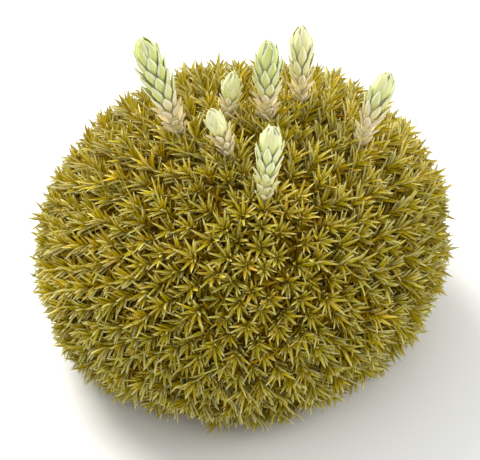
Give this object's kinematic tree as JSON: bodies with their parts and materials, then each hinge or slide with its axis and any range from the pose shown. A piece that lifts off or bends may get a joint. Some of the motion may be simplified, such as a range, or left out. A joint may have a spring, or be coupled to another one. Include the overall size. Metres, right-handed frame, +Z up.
{
  "type": "moss clump",
  "caption": "Rounded clump of leafy moss cut off flat at the ground, with pale scaly shoots standing up out of its top.",
  "frame": {"origin": "middle of the flat cut under the clump, at ground level", "axes": "+Z up out of the cut; +X to the right and +Y to the back as the picture sees it"},
  "size_m": [0.1469, 0.1463, 0.1259],
  "materials": {
    "moss_leaves": "soft leafy olive and golden moss, satin leaves",
    "pale_scales": "pale green and cream overlapping scales, satin"
  },
  "bodies": {
    "root": {"moss_cushion": "moss_leaves", "pale_shoot_1": "pale_scales", "pale_shoot_2": "pale_scales", "pale_shoot_3": "pale_scales", "pale_shoot_4": "pale_scales", "pale_shoot_5": "pale_scales", "pale_shoot_6": "pale_scales", "pale_shoot_7": "pale_scales"}
  },
  "joints": []
}
